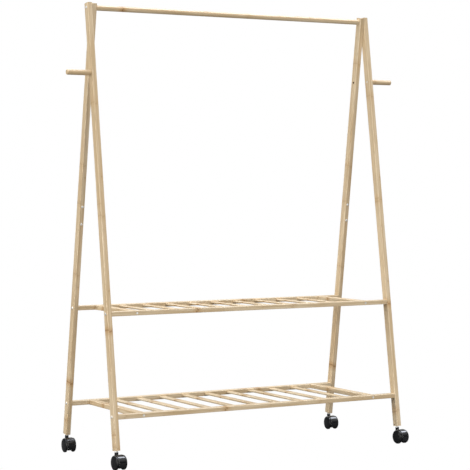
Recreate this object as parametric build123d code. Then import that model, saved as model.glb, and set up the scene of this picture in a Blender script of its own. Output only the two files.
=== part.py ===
"""Rolling clothes rack: two bamboo A-frames joined by a hanging rail and two slatted shelves.

Millimetres, +Z up, +X to the right along the rack, +Y towards its back. The origin is on the
floor, under the middle of the hanging rail.
"""

from build123d import *
import os
from math import atan2, cos, degrees, hypot, pi, radians, sin, tan

# ---- overall sizes -------------------------------------------------------------------------
frame_length = 1108.0      # outside of the left A-frame to outside of the right one
frame_height = 1500.0      # floor to the top corners of the legs
rail_drop = 17.0           # top corners down to the hanging rail's centre, where the legs cross
foot_spread = 410.0        # front to back, between the centres of the leg ends

# ---- legs ----------------------------------------------------------------------------------
leg_thickness = 16.0       # along X
leg_width = 27.0           # across the leg, in the plane of its A-frame
leg_easing = 2.0           # radius on the long edges
splice_height = 801.0      # floor to the middle of the half-lap joint
splice_length = 98.0
splice_end_gap = 0.4       # open seam at each shoulder of the half-lap
splice_bolt_spacing = 58.0
splice_insert_wall = 1.5   # wood left beyond the splice inserts' holes

# ---- hanging rail and coat pegs ------------------------------------------------------------
rail_diameter = 18.0
peg_diameter = 18.0
peg_length = 85.0
peg_drop = 215.5           # hanging rail's centre down to the pegs
peg_rounding = 3.0
rail_rounding = 0.5

# ---- shelves -------------------------------------------------------------------------------
shelf_top = {"upper": 496.0, "lower": 171.5}
shelf_rail_width = 25.0    # front to back
shelf_rail_depth = 15.0    # top to bottom
shelf_easing = 1.5
end_bar_width = 27.0
end_bar_inset = 75.5       # from the back rails' ends to the end bars' centres
slat_count = 9
slat_width = 25.0
slat_thickness = 5.0
slat_drop = 4.5            # slats lie this far below the rails' tops
slat_tenon = 8.0           # let into each rail
slat_easing = 0.8

# ---- fasteners -----------------------------------------------------------------------------
bolt_diameter = 5.0
bolt_head_diameter = 9.0
bolt_head_height = 2.2
bolt_head_rounding = 1.3
bolt_hex = 3.0             # across flats
bolt_hex_depth = 1.4
insert_diameter = 7.0
insert_length = 11.0
screw_diameter = 4.0
screw_tip_diameter = 1.0
screw_tip_length = 4.0
screw_length = 45.0
screw_head_diameter = 8.0
screw_head_height = 2.2
screw_cross_width = 1.0
screw_cross_depth = 1.0

# ---- casters -------------------------------------------------------------------------------
wheel_radius = 23.5
wheel_rim_width = 6.0
wheel_dome = 2.1           # how far the disc stands out past the rim
wheel_wall = 2.0
wheel_rim_depth = 3.5
wheel_rounding = 2.4
hub_radius = 6.0
caster_trail = 18.0        # swivel axis to axle
hood_rise = 1.5            # fender above the wheels' treads
hood_width = 24.0
hood_wall = 2.2
hood_web = 8.0
hood_easing = 0.9
hood_start = 32.0          # degrees about the axle, 0 forwards and 90 straight up
hood_end = 218.0
neck_diameter = 12.5
neck_rise = 7.0            # neck's top above the wheels
neck_drop = 1.5            # neck's bottom below the axle
axle_diameter = 5.0
axle_chamfer = 0.4
axle_groove = 1.2
axle_groove_depth = 0.35
stem_diameter = 7.0
stem_chamfer = 0.7
stem_collar_diameter = 11.0
stem_collar_height = 2.0
stem_reach = 30.0          # up into the leg
foot_gap = 4.7             # neck top to the middle of the leg's end
socket_wall = 1.5
rest_swivel = {"left_front": 1.0, "left_back": -3.0, "right_front": 6.0, "right_back": -3.0}

# ---- clearances ----------------------------------------------------------------------------
bolt_clearance = 0.25      # radial, bolt shank in a leg
wood_clearance = 0.05      # radial, insert, screw or socket in its hole
slat_clearance = 0.1       # all round a slat's end in its mortise
running_clearance = 0.05   # radial, wheel on axle and stem in neck
side_clearance = 0.4       # wheel beside hood, and neck below collar
dowel_end_clearance = 1.0  # bolt and screw tips to the bottom of their holes

# ---- derived places ------------------------------------------------------------------------
rail_height = frame_height - rail_drop
peg_height = rail_height - peg_drop
hood_radius = wheel_radius + hood_rise
neck_top = 2 * wheel_radius + neck_rise
neck_bottom = wheel_radius - neck_drop
foot_height = neck_top + foot_gap
lean = atan2(foot_spread / 2, rail_height - foot_height)
lean_degrees = degrees(lean)
leg_below = hypot(foot_spread / 2, rail_height - foot_height)
leg_above = (frame_height - rail_height - leg_width / 2 * sin(lean)) / cos(lean)
front_leg_x = frame_length / 2 - leg_thickness / 2
back_leg_x = front_leg_x - leg_thickness
inner_gap = {"front": front_leg_x - leg_thickness / 2, "back": back_leg_x - leg_thickness / 2}
end_bar_centre = inner_gap["back"] - end_bar_inset
slat_pitch = 2 * end_bar_centre / (slat_count + 1)
rim_inside = hood_width / 2 + side_clearance
half_wheels = rim_inside + wheel_rim_width + wheel_dome
hub_inside = hood_web / 2 + side_clearance
axle_reach = half_wheels - wheel_wall - side_clearance

splice_insert_length = leg_width / 2 - splice_insert_wall - dowel_end_clearance

SIDES = {"left": -1, "right": 1}
ENDS = {"front": -1, "back": 1}
UPWARDS = (Align.CENTER, Align.CENTER, Align.MIN)


def centre_offset(height):
    """Distance of a leg's centreline from the rack's middle plane at a height."""
    return (rail_height - height) * tan(lean)


def along_leg(height):
    """Place along a leg, up from the crossing bolt, of a height on its centreline."""
    return -(rail_height - height) / cos(lean)


def leg_x(end):
    """Distance of a leg's centre from the middle of the rack: front legs are outside."""
    return front_leg_x if end == "front" else back_leg_x


def to_corner(piece, side, end):
    """Mirror a piece made for the left back corner to another corner, about the middle planes."""
    if side == "right":
        piece = mirror(piece, about=Plane.YZ)
    if end == "front":
        piece = mirror(piece, about=Plane.XZ)
    return piece


def on_leg(piece, end):
    """Lay a piece drawn on an upright leg, origin at the crossing, onto the leaning back leg."""
    return Pos(-leg_x(end), 0, rail_height) * Rot(X=lean_degrees) * piece


def bar(length, width, depth, easing):
    """A bar along X with its long edges eased, centred on the origin."""
    body = Box(length, width, depth)
    return fillet(body.edges().filter_by(Axis.X), easing)


def rod(diameter, length):
    """A cylinder along +X from the origin."""
    return Rot(Y=90) * Cylinder(diameter / 2, length, align=UPWARDS)


def screw_hole(length):
    """A clearance hole along +X for a wood screw, with its countersink at the origin."""
    cone = Cone(
        screw_head_diameter / 2 + wood_clearance,
        screw_diameter / 2 + wood_clearance,
        screw_head_height,
        align=UPWARDS,
    )
    return Rot(Y=90) * cone + rod(screw_diameter + 2 * wood_clearance, length)


# ---- fasteners -----------------------------------------------------------------------------
def bolt(shank):
    """A button-head bolt along +X: the head's underside is at the origin."""
    head = Rot(Y=-90) * Cylinder(
        bolt_head_diameter / 2, bolt_head_height, align=UPWARDS
    )
    head = fillet(head.edges().sort_by(Axis.X)[0], bolt_head_rounding)
    hexagon = Pos(-bolt_head_height, 0, 0) * Plane.YZ * RegularPolygon(bolt_hex / 2, 6, major_radius=False)
    socket = extrude(hexagon, bolt_hex_depth)
    return head + rod(bolt_diameter, shank) - socket


def threaded_insert(length=insert_length):
    """A sleeve insert along +X from the origin."""
    return rod(insert_diameter, length) - rod(bolt_diameter + 2 * wood_clearance, length)


def insert_hole(length=insert_length):
    """The hole along +X that holds an insert and the bolt's tip."""
    return rod(insert_diameter + 2 * wood_clearance, length + dowel_end_clearance)


def wood_screw():
    """A countersunk cross-recess screw along +X, its head flush with the origin."""
    head = Cone(
        screw_head_diameter / 2,
        screw_diameter / 2,
        screw_head_height,
        align=UPWARDS,
    )
    tip = Cone(screw_diameter / 2, screw_tip_diameter / 2, screw_tip_length, align=UPWARDS)
    shank_length = screw_length - screw_tip_length
    body = Rot(Y=90) * head + rod(screw_diameter, shank_length)
    body += Pos(shank_length, 0, 0) * Rot(Y=90) * tip
    arm = Box(2 * screw_cross_depth, screw_diameter, screw_cross_width)
    return body - arm - Rot(X=90) * arm


# ---- legs ----------------------------------------------------------------------------------
def leg_blank():
    """A whole leg, upright, with its origin on the crossing bolt. +X is inwards, +Y outwards."""
    length = leg_above + leg_below
    body = Pos(0, 0, leg_above - length / 2) * Box(leg_thickness, leg_width, length)
    return fillet(body.edges().filter_by(Axis.Z), leg_easing)


def leg_holes():
    """Everything drilled in a leg: crossing, shelf, peg and splice holes, and the stem socket's."""
    through = 2 * leg_thickness
    bolt_hole = Pos(-leg_thickness, 0, 0) * rod(bolt_diameter + 2 * bolt_clearance, through)
    holes = [bolt_hole]
    for top in shelf_top.values():
        holes.append(Pos(0, 0, along_leg(top - shelf_rail_depth / 2)) * bolt_hole)
    holes.append(Pos(leg_thickness / 2, 0, along_leg(peg_height)) * Rot(Z=180) * screw_hole(through))
    for place in splice_bolt_places():
        holes.append(place * Pos(-leg_width, 0, 0) * rod(bolt_diameter + 2 * bolt_clearance, leg_width))
        holes.append(place * insert_hole(splice_insert_length))
    plumb = Pos(0, 0, -leg_below) * Rot(X=-lean_degrees)
    socket = Cylinder(stem_socket_radius(), 2 * (stem_reach + dowel_end_clearance))
    holes.append(plumb * socket)
    return holes


def splice_bolt_places():
    """Where the splice bolts cross the lap, each looking outwards across the leg."""
    middle = along_leg(splice_height)
    return [
        Pos(0, 0, middle + offset * splice_bolt_spacing / 2) * Rot(Z=90)
        for offset in (-1, 1)
    ]


def stem_socket_radius():
    """Radius of the hole in the leg's end for the stem's sleeve."""
    return stem_diameter / 2 + running_clearance + socket_wall + wood_clearance


def leg_pieces():
    """The upper and lower halves of a leg, joined by a half-lap: the upper tongue is outside."""
    middle = along_leg(splice_height)
    long = leg_above + leg_below
    half = splice_length / 2
    blank = leg_blank()
    for hole in leg_holes():
        blank -= hole
    above = Pos(0, 0, middle + half + long / 2) * Box(leg_width, 2 * leg_width, long)
    outer = Pos(0, leg_width, middle) * Box(leg_width, 2 * leg_width, splice_length)
    upper = blank & (above + outer)
    shoulder = Pos(0, leg_width, middle - half) * Box(leg_width, 2 * leg_width, 2 * splice_end_gap)
    lower_end = Pos(0, -leg_width, middle + half) * Box(leg_width, 2 * leg_width, 2 * splice_end_gap)
    lower = blank - above - outer - shoulder - lower_end
    return {"upper": upper, "lower": lower}


# ---- shelves -------------------------------------------------------------------------------
def shelf_rail(end, opening):
    """A shelf's long rail in place over the middle plane, with mortises for the slats.

    opening is the distance from the rack's middle plane to the rail's inner face.
    """
    length = 2 * inner_gap[end]
    rail = bar(length, shelf_rail_width, shelf_rail_depth, shelf_easing)
    mortise = Box(
        slat_width + 2 * slat_clearance,
        2 * (slat_tenon + slat_clearance),
        slat_thickness + 2 * slat_clearance,
    )
    level = shelf_rail_depth / 2 - slat_drop - slat_thickness / 2
    for number in range(slat_count):
        rail -= Pos(slat_x(number), -shelf_rail_width / 2, level) * mortise
    for side in SIDES.values():
        rail -= Pos(side * length / 2, 0, 0) * Rot(Z=90 + 90 * side) * insert_hole()
        outside = Pos(side * end_bar_centre, shelf_rail_width / 2, 0) * Rot(Z=-90)
        rail -= outside * screw_hole(2 * shelf_rail_width)
    return Pos(0, opening + shelf_rail_width / 2, 0) * rail


def slat_x(number):
    """Place of a slat's centre along the shelf, from the middle of the rack."""
    return (number + 1) * slat_pitch - end_bar_centre


def shelf_end_bar(opening):
    """A bar from rail to rail at a shelf's end, with pilot holes for its screws."""
    piece = Rot(Z=90) * bar(2 * opening, end_bar_width, shelf_rail_depth, shelf_easing)
    depth = screw_length - shelf_rail_width + dowel_end_clearance
    for end in ENDS.values():
        hole = rod(screw_diameter + 2 * wood_clearance, depth)
        piece -= Pos(0, end * opening, 0) * Rot(Z=-90 * end) * hole
    return piece


def shelf_slat(opening):
    """A thin slat whose ends are let into both rails."""
    slat = Rot(Z=90) * bar(2 * (opening + slat_tenon), slat_width, slat_thickness, slat_easing)
    return slat


def shelf_nodes(name):
    """The rails, end bars and slats of one shelf, in place."""
    level = shelf_top[name] - shelf_rail_depth / 2
    opening = centre_offset(level) - shelf_rail_width / 2
    nodes = {}
    for end in ENDS:
        rail = Pos(0, 0, level) * shelf_rail(end, opening)
        nodes[f"{name}_shelf_{end}_rail"] = to_corner(rail, "left", end)
    for side, sign in SIDES.items():
        placed = Pos(sign * end_bar_centre, 0, level)
        nodes[f"{name}_shelf_{side}_bar"] = placed * shelf_end_bar(opening)
    slat_level = shelf_top[name] - slat_drop - slat_thickness / 2
    for number in range(slat_count):
        placed = Pos(slat_x(number), 0, slat_level)
        nodes[f"{name}_shelf_slat_{number + 1}"] = placed * shelf_slat(opening)
    return nodes


# ---- rail and pegs -------------------------------------------------------------------------
def hanging_rail():
    """The round rail between the back legs, with an insert hole in each end."""
    length = 2 * inner_gap["back"]
    rail = Pos(-length / 2, 0, 0) * rod(rail_diameter, length)
    rail = chamfer(rail.edges(), rail_rounding)
    for side in SIDES.values():
        rail -= Pos(side * length / 2, 0, 0) * Rot(Z=90 + 90 * side) * insert_hole()
    return Pos(0, 0, rail_height) * rail


def coat_peg(side):
    """A peg that stands out from the outer face of a front leg."""
    peg = Rot(Z=180) * rod(peg_diameter, peg_length)
    tip = peg.edges().sort_by(Axis.X)[0]
    peg = fillet(tip, peg_rounding)
    depth = screw_length - leg_thickness + dowel_end_clearance
    peg -= Rot(Z=180) * rod(screw_diameter + 2 * wood_clearance, depth)
    placed = Pos(-frame_length / 2, centre_offset(peg_height), peg_height) * peg
    return to_corner(placed, side, "front")


# ---- casters -------------------------------------------------------------------------------
def wheel():
    """One wheel of a pair, a domed dish that spins on the axle. Its hub is on +X of the origin."""
    rim_outside = rim_inside + wheel_rim_width
    bore = axle_diameter / 2 + running_clearance
    ridge = bore - axle_groove_depth / 2
    groove_at = axle_reach - 2 * axle_groove
    disc_inside = half_wheels - wheel_wall
    shoulder = wheel_radius - wheel_rim_depth
    corner = wheel_rounding * (1 - cos(pi / 4))
    with BuildPart() as dish:
        with BuildSketch(Plane.XY):
            with BuildLine():
                dome = ThreePointArc(
                    (half_wheels, 0),
                    (half_wheels - wheel_dome / 4, wheel_radius / 2),
                    (rim_outside, wheel_radius - wheel_rounding),
                )
                tread = ThreePointArc(
                    dome @ 1,
                    (rim_outside - corner, wheel_radius - corner),
                    (rim_outside - wheel_rounding, wheel_radius),
                )
                Polyline(
                    tread @ 1,
                    (rim_inside, wheel_radius),
                    (rim_inside, shoulder),
                    (disc_inside - wheel_dome, shoulder),
                    (disc_inside - wheel_dome, hub_radius),
                    (hub_inside, hub_radius),
                    (hub_inside, bore),
                    (groove_at, bore),
                    (groove_at + axle_groove / 2, ridge),
                    (groove_at + axle_groove, bore),
                    (disc_inside, bore),
                    (disc_inside, 0),
                    dome @ 0,
                )
            make_face()
        revolve(axis=Axis.X)
    return dish.part


def axle():
    """The pin that both wheels of a caster spin on, with a snap groove near each end."""
    pin = Pos(-axle_reach, 0, 0) * rod(axle_diameter, 2 * axle_reach)
    pin = chamfer(pin.edges(), axle_chamfer)
    ring = rod(2 * axle_diameter, axle_groove) - rod(axle_diameter - 2 * axle_groove_depth, axle_groove)
    groove_at = axle_reach - 2 * axle_groove
    return pin - Pos(groove_at, 0, 0) * ring - Pos(-groove_at - axle_groove, 0, 0) * ring


def hood():
    """A caster's body: neck, web between the wheels and a fender over them. Origin on the floor."""
    inner = hood_radius - hood_wall
    with BuildPart() as shell:
        with BuildSketch(Plane.YZ):
            Circle(hood_radius)
            Circle(inner, mode=Mode.SUBTRACT)
            hood_sector(mode=Mode.INTERSECT)
        extrude(amount=hood_width / 2, both=True)
    fender = fillet(outer_hood_edges(shell.part), hood_easing)
    with BuildPart() as web:
        with BuildSketch(Plane.YZ):
            Circle(inner + hood_wall / 2)
            hood_sector(mode=Mode.INTERSECT)
            Circle(hub_radius)
        extrude(amount=hood_web / 2, both=True)
    neck = Cylinder(neck_diameter / 2, neck_top - neck_bottom, align=UPWARDS)
    neck = chamfer(neck.edges().sort_by(Axis.Z)[-1], hood_easing)
    body = Pos(0, -caster_trail, wheel_radius) * (fender + web.part) + Pos(0, 0, neck_bottom) * neck
    body -= Pos(-hood_width, -caster_trail, wheel_radius) * rod(axle_diameter, 2 * hood_width)
    bore = Cylinder(stem_diameter / 2 + running_clearance, neck_top, align=UPWARDS)
    return body - Pos(0, 0, stem_bottom() - dowel_end_clearance) * bore


def hood_sector(mode):
    """The wedge about the axle that the hood fills, as a sketch in the wheel's plane."""
    reach = 2 * hood_radius
    half = (hood_end - hood_start) / 2
    corners = [(0, 0)]
    for turn in (hood_start, hood_start + half / 2, hood_start + half, hood_end - half / 2, hood_end):
        corners.append((reach * cos(radians(turn)), reach * sin(radians(turn))))
    return Polygon(*corners, align=None, mode=mode)


def outer_hood_edges(body):
    """The two long curved edges of the fender's outside, which lie on its two flat sides."""
    arcs = body.edges().filter_by(GeomType.CIRCLE)
    return arcs.group_by(SortBy.RADIUS)[-1]


def stem_bottom():
    """Height of the stem's lower end, clear above the axle's boss in the neck."""
    return neck_bottom + 2 * dowel_end_clearance


def caster_stem():
    """The steel pin that a caster swivels on, with its collar under the leg's end."""
    top = foot_height + stem_reach
    pin = Pos(0, 0, stem_bottom()) * Cylinder(
        stem_diameter / 2, top - stem_bottom(), align=UPWARDS
    )
    pin = chamfer(pin.edges(), stem_chamfer)
    collar = Pos(0, 0, neck_top + side_clearance) * Cylinder(
        stem_collar_diameter / 2, stem_collar_height, align=UPWARDS
    )
    return pin + collar


def caster_socket():
    """The sleeve in the leg's end that grips the stem."""
    bore = stem_diameter / 2 + running_clearance
    start = foot_height + (bore + socket_wall) * tan(lean)
    sleeve = Cylinder(bore + socket_wall, foot_height + stem_reach - start, align=UPWARDS)
    hole = Cylinder(bore, 3 * stem_reach)
    return Pos(0, 0, start) * (sleeve - hole)


def at_foot(piece, side, end):
    """Place a piece drawn about a swivel axis under a leg's end, turned as no mirror would."""
    x = SIDES[side] * leg_x(end)
    y = ENDS[end] * foot_spread / 2
    return Pos(x, y, 0) * piece


def caster_nodes(side, end):
    """The hood, axle and two wheels of one caster, in place at its rest angle."""
    corner = f"{side}_{end}"
    turned = Rot(Z=rest_swivel[corner])
    to_axle = Pos(0, -caster_trail, wheel_radius)
    right_wheel = to_axle * wheel()
    left_wheel = to_axle * Rot(Z=180) * wheel()
    return {
        f"caster_{corner}_hood": at_foot(turned * hood(), side, end),
        f"caster_{corner}_axle": at_foot(turned * to_axle * axle(), side, end),
        f"caster_{corner}_left_wheel": at_foot(turned * left_wheel, side, end),
        f"caster_{corner}_right_wheel": at_foot(turned * right_wheel, side, end),
    }


# ---- fastener groups -----------------------------------------------------------------------
def rail_joints():
    """Bolts and inserts that hold the hanging rail through both legs of each A-frame."""
    start = Pos(-frame_length / 2, 0, rail_height)
    shank = 2 * leg_thickness + insert_length
    bolts = []
    inserts = []
    for side in SIDES:
        bolts.append(to_corner(start * bolt(shank), side, "back"))
        inserts.append(to_corner(start * Pos(2 * leg_thickness, 0, 0) * threaded_insert(), side, "back"))
    return bolts, inserts


def shelf_joints():
    """Bolts through the legs into the ends of the shelf rails, and their inserts."""
    bolts = []
    inserts = []
    for top in shelf_top.values():
        level = top - shelf_rail_depth / 2
        for side in SIDES:
            for end in ENDS:
                start = Pos(-leg_x(end) - leg_thickness / 2, centre_offset(level), level)
                placed = start * bolt(leg_thickness + insert_length)
                bolts.append(to_corner(placed, side, end))
                placed = start * Pos(leg_thickness, 0, 0) * threaded_insert()
                inserts.append(to_corner(placed, side, end))
    return bolts, inserts


def splice_joints():
    """Bolts across the half-laps from the inner face, and their inserts in the outer tongues."""
    bolts = []
    inserts = []
    for side in SIDES:
        for end in ENDS:
            for place in splice_bolt_places():
                placed = place * Pos(-leg_width / 2, 0, 0) * bolt(leg_width / 2 + splice_insert_length)
                bolts.append(to_corner(on_leg(placed, end), side, end))
                placed = place * threaded_insert(splice_insert_length)
                inserts.append(to_corner(on_leg(placed, end), side, end))
    return bolts, inserts


def screws():
    """Wood screws: one in each coat peg and one in each end of every end bar."""
    placed = []
    start = Pos(-frame_length / 2 + leg_thickness, centre_offset(peg_height), peg_height)
    for side in SIDES:
        placed.append(to_corner(start * Rot(Z=180) * wood_screw(), side, "front"))
    for top in shelf_top.values():
        level = top - shelf_rail_depth / 2
        outside = centre_offset(level) + shelf_rail_width / 2
        for side in SIDES:
            for end in ENDS:
                start = Pos(-end_bar_centre, outside, level) * Rot(Z=-90)
                placed.append(to_corner(start * wood_screw(), side, end))
    return placed


def all_nodes():
    """Every named piece of the rack, in place."""
    nodes = {}
    halves = leg_pieces()
    for side in SIDES:
        for end in ENDS:
            for half, piece in halves.items():
                nodes[f"leg_{side}_{end}_{half}"] = to_corner(on_leg(piece, end), side, end)
    nodes["hanging_rail"] = hanging_rail()
    for side in SIDES:
        nodes[f"coat_peg_{side}"] = coat_peg(side)
    for name in shelf_top:
        nodes.update(shelf_nodes(name))
    for side in SIDES:
        for end in ENDS:
            nodes.update(caster_nodes(side, end))
    corners = [(side, end) for side in SIDES for end in ENDS]
    nodes["caster_stems"] = Compound(children=[at_foot(caster_stem(), *corner) for corner in corners])
    nodes["caster_sockets"] = Compound(children=[at_foot(caster_socket(), *corner) for corner in corners])
    inserts = []
    groups = {"rail_bolts": rail_joints(), "shelf_bolts": shelf_joints(), "splice_bolts": splice_joints()}
    for name, (bolts, sleeves) in groups.items():
        nodes[name] = Compound(children=bolts)
        inserts += sleeves
    nodes["threaded_inserts"] = Compound(children=inserts)
    nodes["wood_screws"] = Compound(children=screws())
    return nodes


os.makedirs("parts", exist_ok=True)
for node, shape in all_nodes().items():
    export_step(shape, f"parts/{node}.step")
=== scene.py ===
"""Looks of the rolling clothes rack: bamboo A-frames, slatted shelves and black twin-wheel casters.

Metres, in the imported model's frame: +X right along the rack, +Y to its back, +Z up, origin on
the floor under the middle of the hanging rail.
"""

import logging
import math
from collections.abc import Callable, Mapping, Sequence
from dataclasses import dataclass, field
from enum import Enum
from typing import ClassVar

import bmesh
import bpy
from mathutils import Matrix, Vector


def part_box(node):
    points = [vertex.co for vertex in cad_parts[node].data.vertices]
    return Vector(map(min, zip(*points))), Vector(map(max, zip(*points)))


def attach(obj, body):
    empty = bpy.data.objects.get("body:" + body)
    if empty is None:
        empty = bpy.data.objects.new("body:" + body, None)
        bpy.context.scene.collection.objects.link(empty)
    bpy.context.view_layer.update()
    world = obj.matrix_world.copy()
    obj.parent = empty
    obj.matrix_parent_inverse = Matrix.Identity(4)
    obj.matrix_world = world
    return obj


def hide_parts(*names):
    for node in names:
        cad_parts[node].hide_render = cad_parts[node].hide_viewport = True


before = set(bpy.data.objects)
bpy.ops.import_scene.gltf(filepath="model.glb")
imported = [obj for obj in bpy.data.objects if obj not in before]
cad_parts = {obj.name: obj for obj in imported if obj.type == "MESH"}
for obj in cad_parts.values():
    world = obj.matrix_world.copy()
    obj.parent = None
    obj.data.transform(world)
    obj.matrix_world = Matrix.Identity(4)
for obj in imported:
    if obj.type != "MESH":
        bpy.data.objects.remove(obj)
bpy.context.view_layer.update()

log = logging.getLogger("clothes_rack")

MM = 0.001
SIDES = ("left", "right")
ENDS = ("front", "back")
WELD = 1e-6
Colour = tuple[float, float, float]


# ---- node trees ----------------------------------------------------------------------------
class Value:
    """A number socket of a node tree. Python's operators add Math nodes after it."""

    def __init__(self, graph: "Graph", socket: bpy.types.NodeSocket) -> None:
        """Wraps one output socket.

        Args:
            graph: the tree that the socket belongs to.
            socket: a node's output.
        """
        self.graph = graph
        self.socket = socket

    def __add__(self, other: "Value | float") -> "Value":
        """Sum."""
        return self.graph.math("ADD", self, other)

    def __sub__(self, other: "Value | float") -> "Value":
        """Difference."""
        return self.graph.math("SUBTRACT", self, other)

    def __rsub__(self, other: float) -> "Value":
        """Difference from a number."""
        return self.graph.math("SUBTRACT", other, self)

    def __mul__(self, other: "Value | float") -> "Value":
        """Product."""
        return self.graph.math("MULTIPLY", self, other)

    def __truediv__(self, other: "Value | float") -> "Value":
        """Quotient."""
        return self.graph.math("DIVIDE", self, other)

    def __abs__(self) -> "Value":
        """Size without sign."""
        return self.graph.math("ABSOLUTE", self)

    def __floor__(self) -> "Value":
        """Whole number below."""
        return self.graph.math("FLOOR", self)

    __radd__ = __add__
    __rmul__ = __mul__

    def ramp(self, low: float, high: float) -> "Value":
        """A smooth step.

        Args:
            low: where the result is 0.
            high: where the result is 1. It may be below low, which turns the step round.

        Returns:
            A value from 0 to 1.
        """
        node = self.graph.add(
            "ShaderNodeMapRange",
            {"interpolation_type": "SMOOTHSTEP"},
            {"Value": self, "From Min": low, "From Max": high},
        )
        return Value(self.graph, node.outputs["Result"])


@dataclass
class Graph:
    """A node tree of a material, the world or a modifier, and the one way nodes get into it.

    Attributes:
        tree: the tree that nodes are added to.
    """

    tree: bpy.types.NodeTree

    def add(
        self,
        kind: str,
        settings: Mapping[str, object] | None = None,
        inputs: Mapping[str | int, object] | None = None,
    ) -> bpy.types.Node:
        """Adds one node.

        Args:
            kind: the node's type name.
            settings: the node's own properties, set first.
            inputs: what each input socket holds: a number, vector or colour, a Value, a node's
                output socket, or a node, which stands for its first output.

        Returns:
            The new node.
        """
        node = self.tree.nodes.new(kind)
        for name, setting in (settings or {}).items():
            setattr(node, name, setting)
        for key, given in (inputs or {}).items():
            self.feed(node.inputs[key], given)
        return node

    def feed(self, socket: bpy.types.NodeSocket, given: object) -> None:
        """Links or sets one input.

        Args:
            socket: the input.
            given: as one of the inputs of add.
        """
        if isinstance(given, Value):
            given = given.socket
        if isinstance(given, bpy.types.Node):
            given = given.outputs[0]
        if isinstance(given, bpy.types.NodeSocket):
            self.tree.links.new(given, socket)
        else:
            socket.default_value = given

    def math(self, operation: str, *values: Value | float) -> Value:
        """Adds a Math node.

        Args:
            operation: its operation.
            values: its inputs in order.

        Returns:
            The result.
        """
        node = self.add("ShaderNodeMath", {"operation": operation}, dict(enumerate(values)))
        return Value(self, node.outputs[0])

    def vector(self, x: Value | float, y: Value | float, z: Value | float) -> bpy.types.Node:
        """Joins three numbers into a vector."""
        return self.add("ShaderNodeCombineXYZ", None, {"X": x, "Y": y, "Z": z})

    def blend(self, amount: Value, start: object, end: object) -> bpy.types.NodeSocket:
        """Mixes two colours.

        Args:
            amount: 0 gives start and 1 gives end.
            start: a colour or a colour socket.
            end: a colour or a colour socket.

        Returns:
            The mixed colour's socket.
        """
        pair = {0: amount, 6: as_rgba(start), 7: as_rgba(end)}
        return self.add("ShaderNodeMix", {"data_type": "RGBA"}, pair).outputs[2]

    def noise(self, place: object, detail: float = 2.0, roughness: float = 0.5) -> Value:
        """Adds a noise pattern.

        Args:
            place: the vector that it reads, already at its scale.
            detail: how many octaves.
            roughness: how strong the finer octaves are.

        Returns:
            A value about 0.5.
        """
        knobs = {"Vector": place, "Scale": 1.0, "Detail": detail, "Roughness": roughness}
        return Value(self, self.add("ShaderNodeTexNoise", None, knobs).outputs[0])

    def chance(self, number: Value) -> Value:
        """A fixed random value from 0 to 1 for each whole number."""
        node = self.add("ShaderNodeTexWhiteNoise", {"noise_dimensions": "1D"}, {"W": number})
        return Value(self, node.outputs["Value"])

    def split(self, vector: object) -> tuple[Value, Value, Value]:
        """The three numbers of a vector."""
        node = self.add("ShaderNodeSeparateXYZ", None, {0: vector})
        return tuple(Value(self, out) for out in node.outputs)


# Short names of the Principled shader's sockets that the finishes feed.
SOCKETS = {
    "base_color": "Base Color",
    "metallic": "Metallic",
    "roughness": "Roughness",
    "ior": "IOR",
    "coat_weight": "Coat Weight",
    "coat_roughness": "Coat Roughness",
}


def as_rgba(colour: object) -> object:
    """Gives a three-number colour its alpha, and leaves a socket as it is."""
    return (*colour, 1.0) if isinstance(colour, tuple) else colour


@dataclass
class Surface:
    """A material with one Principled shader, being built.

    Attributes:
        name: the material's name.
    """

    name: str
    material: bpy.types.Material = field(init=False)
    graph: Graph = field(init=False)
    shader: bpy.types.Node = field(init=False)

    def __post_init__(self) -> None:
        """Makes the empty material."""
        self.material = bpy.data.materials.new(self.name)
        self.material.use_nodes = True
        self.graph = Graph(self.material.node_tree)
        self.shader = self.material.node_tree.nodes["Principled BSDF"]

    def place(self, turn: float = 0.0) -> tuple[Value, Value, Value]:
        """The point on the object.

        Args:
            turn: angle about X that the point is turned by, in radians.

        Returns:
            Its X, Y and Z, in metres.
        """
        where = self.graph.add("ShaderNodeTexCoord").outputs["Object"]
        knobs = {"Vector": where, "Rotation": (turn, 0.0, 0.0)}
        return self.graph.split(self.graph.add("ShaderNodeMapping", None, knobs))

    def set(self, **sockets: object) -> None:
        """Feeds the shader's sockets, by their short names in SOCKETS."""
        for key, given in sockets.items():
            self.graph.feed(self.shader.inputs[SOCKETS[key]], as_rgba(given))

    def relief(self, height: Value, depth: float) -> None:
        """Raises the surface a little.

        Args:
            height: from 0 to 1.
            depth: what a height of 1 stands for, in metres.
        """
        knobs = {"Height": height, "Distance": depth, "Strength": 1.0}
        self.graph.feed(self.shader.inputs["Normal"], self.graph.add("ShaderNodeBump", None, knobs))


# ---- finishes ------------------------------------------------------------------------------
# A leg's middle line, from its foot up to the apex: its foot is FOOT_OUT in front of the apex or
# behind it, and LEAN is its angle from upright.
FOOT_OUT = 0.205
FOOT_HEIGHT = 0.0587
APEX_HEIGHT = 1.483
LEAN = math.atan2(FOOT_OUT, APEX_HEIGHT - FOOT_HEIGHT)


@dataclass(frozen=True)
class Pattern:
    """A noise pattern that is stretched over a piece.

    Attributes:
        per_metre: blotches to the metre, in each of three directions.
        detail: how many octaves.
        roughness: how strong the finer octaves are.
    """

    per_metre: tuple[float, float, float]
    detail: float
    roughness: float = 0.5

    def on(self, graph: Graph, *point: Value) -> Value:
        """Adds the pattern to a tree.

        Args:
            graph: the tree.
            point: three distances, in the directions of per_metre.

        Returns:
            A value about 0.5.
        """
        scaled = [place * rate for place, rate in zip(point, self.per_metre)]
        return graph.noise(graph.vector(*scaled), self.detail, self.roughness)


class Salt(Enum):
    """Numbers that keep the random draws for one strip or knuckle apart from each other."""

    TONE = 31.0
    STAGGER = 3.0
    OWN_SHIFT = 5.0
    CLEARNESS = 7.0


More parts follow.
